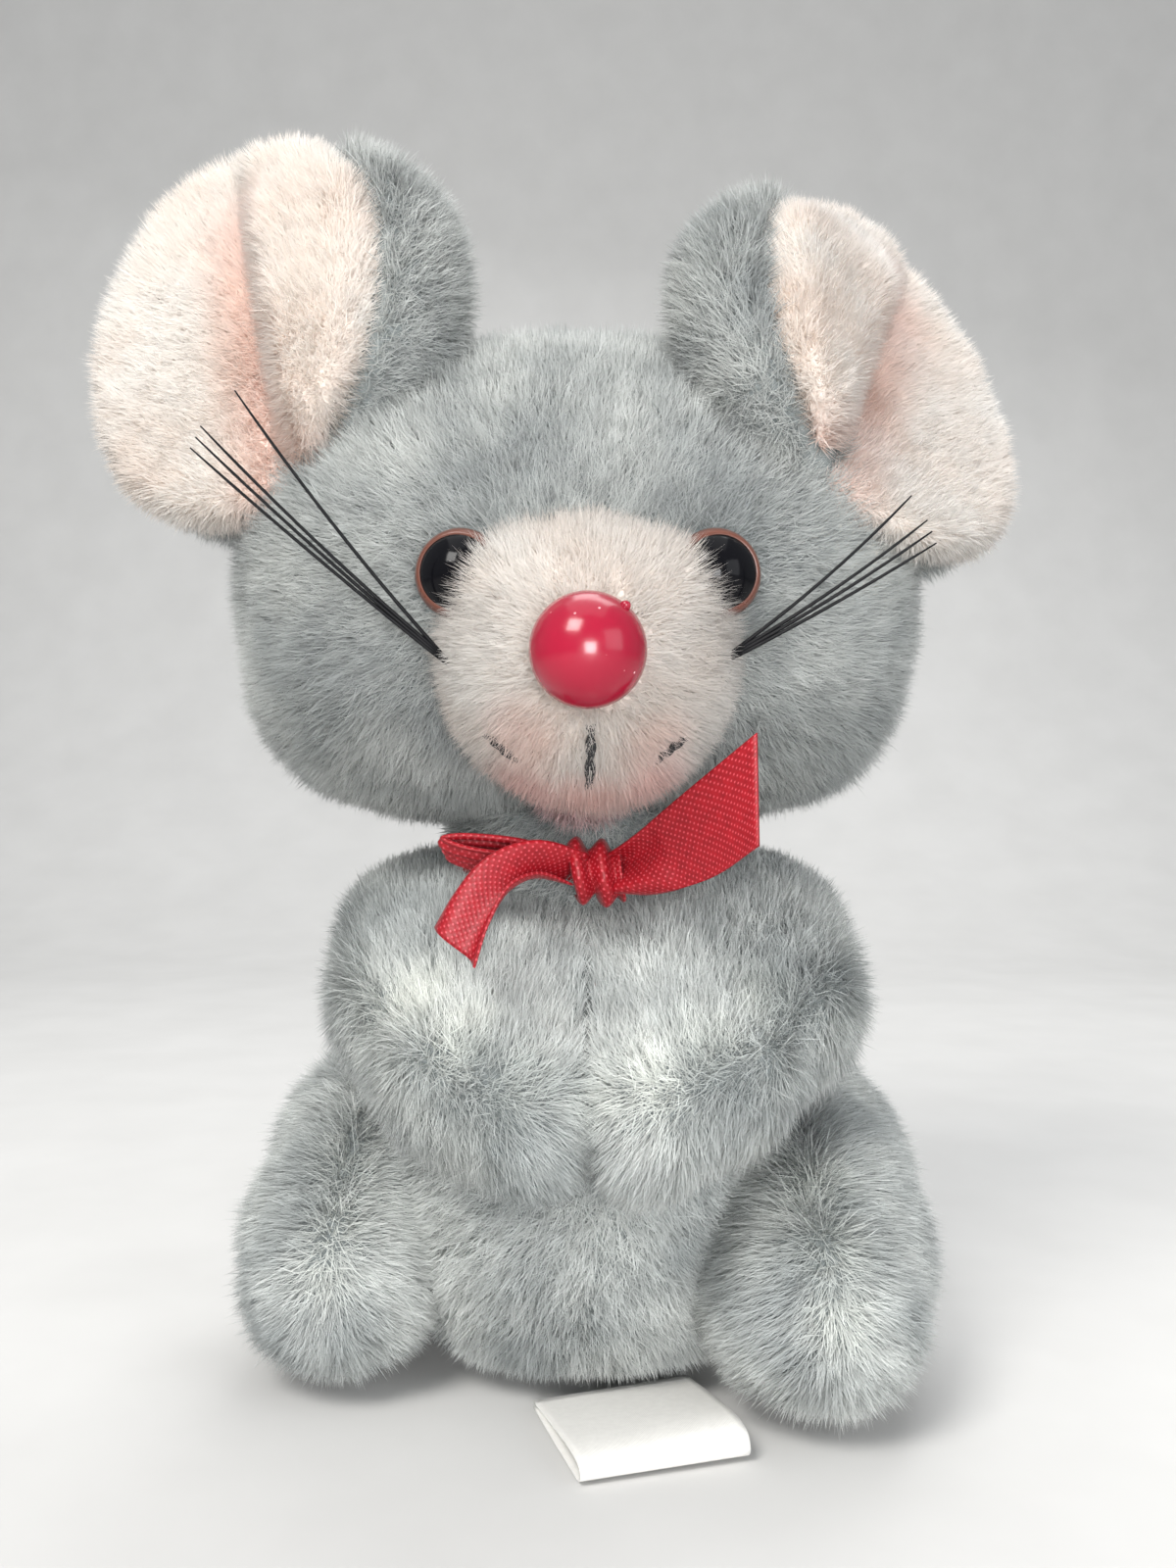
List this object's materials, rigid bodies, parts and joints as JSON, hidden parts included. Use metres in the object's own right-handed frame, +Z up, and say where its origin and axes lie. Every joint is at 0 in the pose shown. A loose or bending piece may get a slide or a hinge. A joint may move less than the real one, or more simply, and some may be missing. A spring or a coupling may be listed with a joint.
{
  "type": "clockwork mouse",
  "caption": "Sitting plush mouse with a wind-up musical movement, a key at its back and a head that sways from side to side.",
  "frame": {"origin": "centre of the torso's flat seat, on the surface that the toy sits on", "axes": "+Z up, the face looks along -Y, +X is to the right of someone who faces the toy"},
  "size_m": [0.1529, 0.1299, 0.1977],
  "materials": {
    "grey_plush": "matte",
    "cream_plush": "matte",
    "pink_plush": "matte",
    "filling": "matte",
    "red_ribbon": "satin",
    "white_satin": "satin",
    "case_plastic": "satin",
    "grommet_plastic": "satin",
    "eye_plastic": "gloss",
    "nose_plastic": "gloss",
    "whisker_nylon": "gloss",
    "mouth_yarn": "matte",
    "key_steel": "satin",
    "steel": "satin",
    "brass": "satin"
  },
  "bodies": {
    "body": {"body_skin": "grey_plush", "body_stuffing": "filling", "arm_left": "grey_plush", "arm_right": "grey_plush", "leg_left": "grey_plush", "leg_right": "grey_plush", "tail": "grey_plush", "ribbon_collar": "red_ribbon", "ribbon_bow": "red_ribbon", "sewn_label": "white_satin", "case_front": "case_plastic", "case_rear": "case_plastic", "case_screws": "steel", "front_plate": "steel", "rear_plate": "steel", "plate_pillars": "brass", "plate_screws": "steel", "comb": "steel", "comb_bar": "brass", "comb_screws": "steel", "click_screw": "steel", "click_spring": "steel", "neck_bracket": "steel", "neck_pin": "brass", "key_grommet": "grommet_plastic"},
    "key": {"winding_key": "key_steel", "spring_arbor": "steel", "ratchet_wheel": "steel"},
    "click": {"click": "steel"},
    "barrel": {"spring_barrel": "brass", "barrel_cap": "brass", "mainspring": "steel"},
    "drum": {"music_drum": "brass", "drum_arbor": "steel", "drum_wheel": "brass", "crank_disc": "brass", "crank_pin": "steel"},
    "second": {"second_arbor": "steel", "second_wheel": "brass"},
    "governor": {"governor_arbor": "steel", "governor_fly": "case_plastic"},
    "head": {"rocker_lever": "steel", "head_plate": "case_plastic", "head_skin": "grey_plush", "head_stuffing": "filling", "muzzle": "cream_plush", "chin_patch": "pink_plush", "ear_left_back": "grey_plush", "ear_left_lining": "cream_plush", "ear_right_back": "grey_plush", "ear_right_lining": "cream_plush", "eye_left": "eye_plastic", "eye_right": "eye_plastic", "eye_washers": "case_plastic", "nose": "nose_plastic", "nose_washer": "case_plastic", "whiskers_left": "whisker_nylon", "whiskers_right": "whisker_nylon", "mouth_thread": "mouth_yarn"}
  },
  "joints": [
    {"name": "key_turn", "type": "hinge", "parent": "body", "child": "key", "pos_m": [0, 0, 0.032], "axis": [0, 1, 0], "continuous": true},
    {"name": "click_lift", "type": "hinge", "parent": "body", "child": "click", "pos_m": [-0.0102, 0, 0.0356], "axis": [0, 1, 0], "range_deg": [0, 14]},
    {"name": "barrel_spin", "type": "hinge", "parent": "body", "child": "barrel", "pos_m": [0, 0, 0.032], "axis": [0, 1, 0], "continuous": true},
    {"name": "drum_spin", "type": "hinge", "parent": "body", "child": "drum", "pos_m": [0, 0, 0.05], "axis": [0, 1, 0], "continuous": true},
    {"name": "second_spin", "type": "hinge", "parent": "body", "child": "second", "pos_m": [0.00931, 0, 0.05164], "axis": [0, 1, 0], "continuous": true},
    {"name": "governor_spin", "type": "hinge", "parent": "body", "child": "governor", "pos_m": [0.01411, 0, 0.04333], "axis": [0, 1, 0], "continuous": true},
    {"name": "head_sway", "type": "hinge", "parent": "body", "child": "head", "pos_m": [0, 0, 0.08], "axis": [0, 1, 0], "range_deg": [-8, 8]}
  ],
  "couplings": [
    {"joint": "drum_spin", "follows": "barrel_spin", "ratio": -4},
    {"joint": "second_spin", "follows": "barrel_spin", "ratio": 10},
    {"joint": "governor_spin", "follows": "barrel_spin", "ratio": -30}
  ]
}
